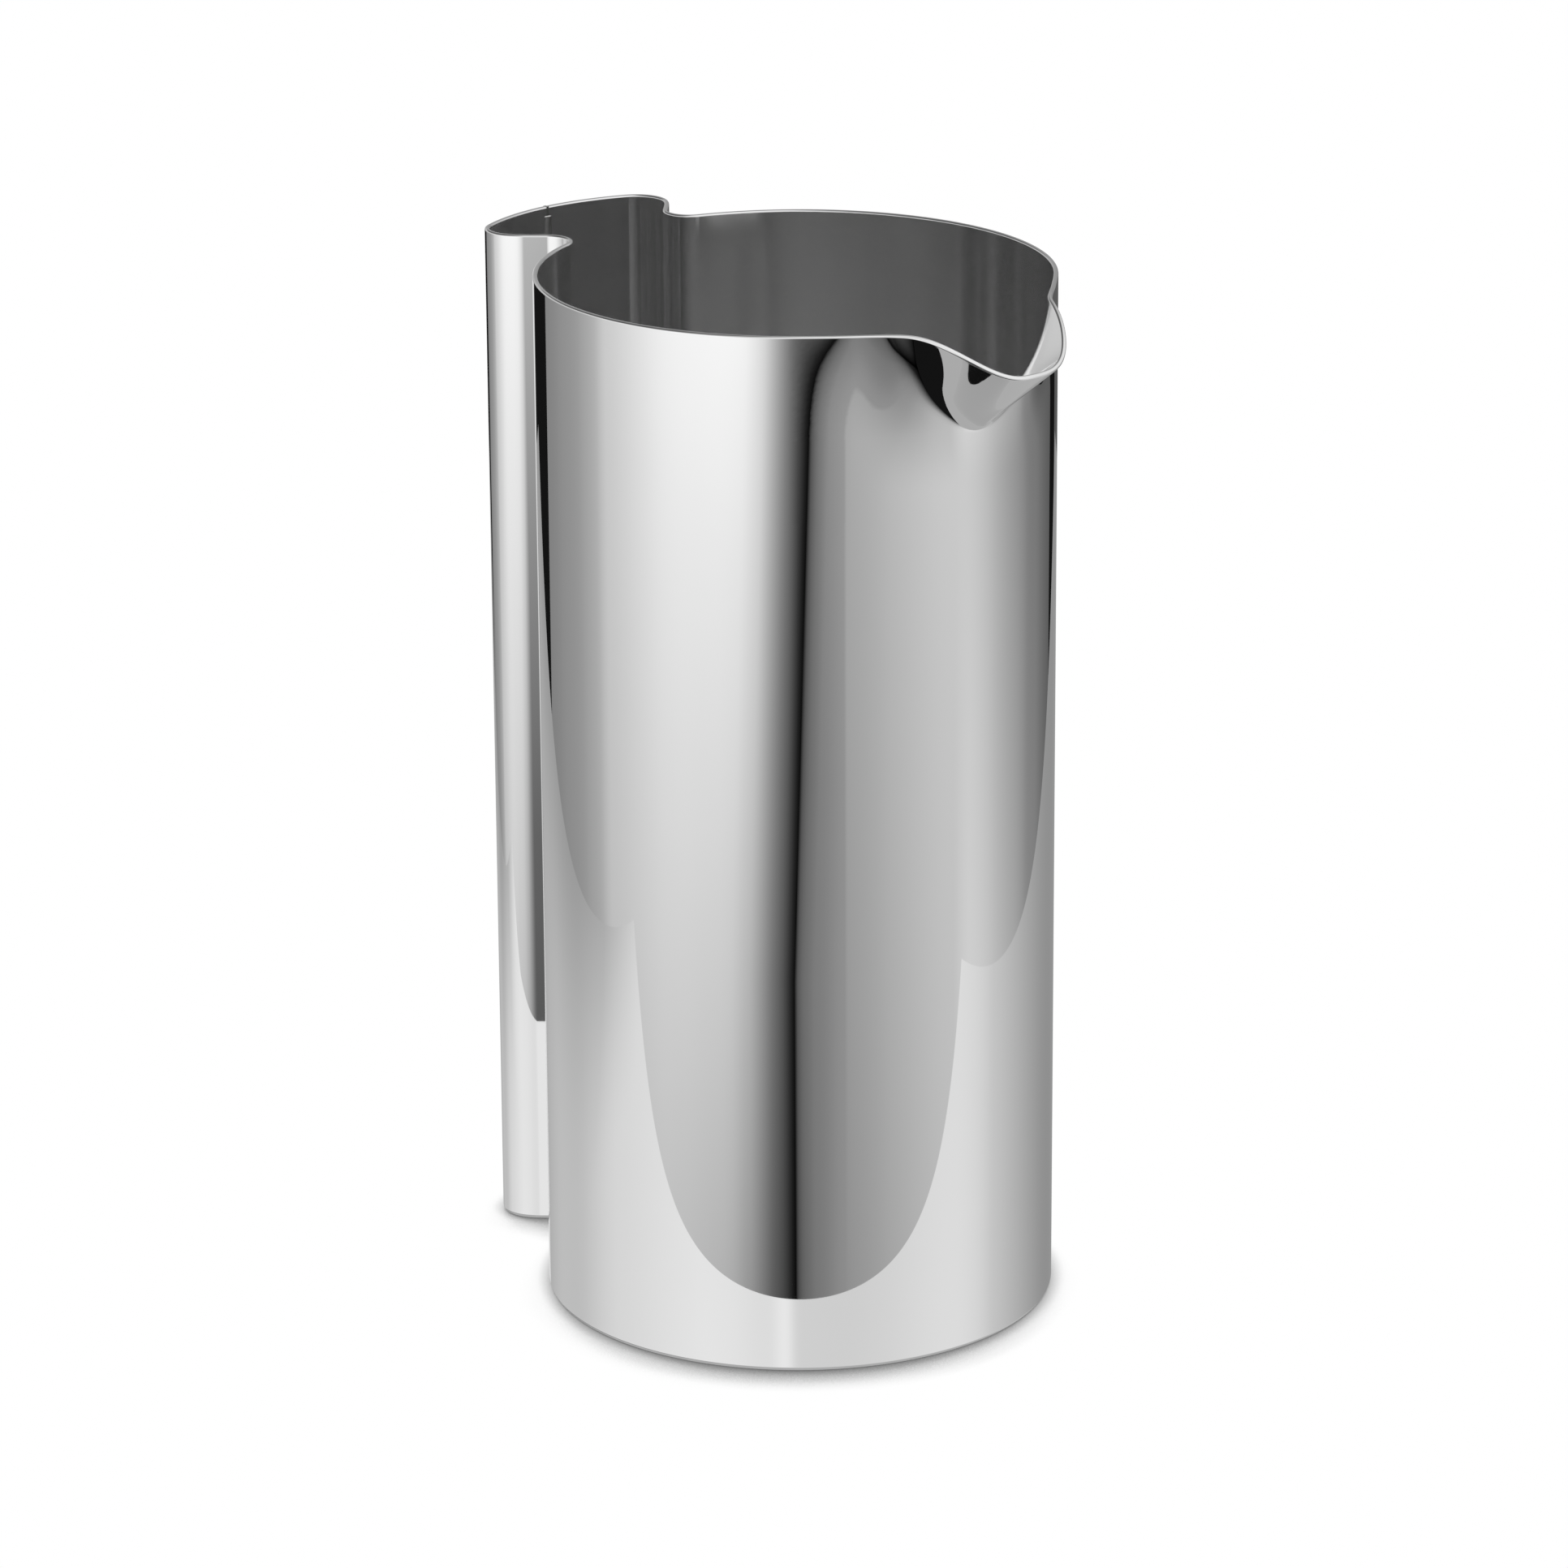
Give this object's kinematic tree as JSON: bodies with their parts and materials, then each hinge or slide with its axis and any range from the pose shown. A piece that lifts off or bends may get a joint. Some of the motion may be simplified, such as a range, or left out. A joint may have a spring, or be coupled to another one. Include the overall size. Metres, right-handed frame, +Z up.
{
  "type": "water pitcher",
  "caption": "Tall polished metal water pitcher: round straight body, hollow full-height handle folded from the same wall, pinched pouring spout, open top, flat floor.",
  "frame": {"origin": "underside of the floor, on the axis of the round body", "axes": "+Z up along the body's axis, +X towards the spout, -X towards the handle"},
  "size_m": [0.1389, 0.1, 0.2058],
  "materials": {
    "polished_wall": "mirror polished outside, polished inside",
    "polished_floor": "fine satin underneath, polished inside",
    "seam_filler": "dressed filler bead"
  },
  "bodies": {
    "root": {"body_wall": "polished_wall", "base_plate": "polished_floor", "back_seam": "seam_filler", "base_seam": "seam_filler"}
  },
  "joints": []
}
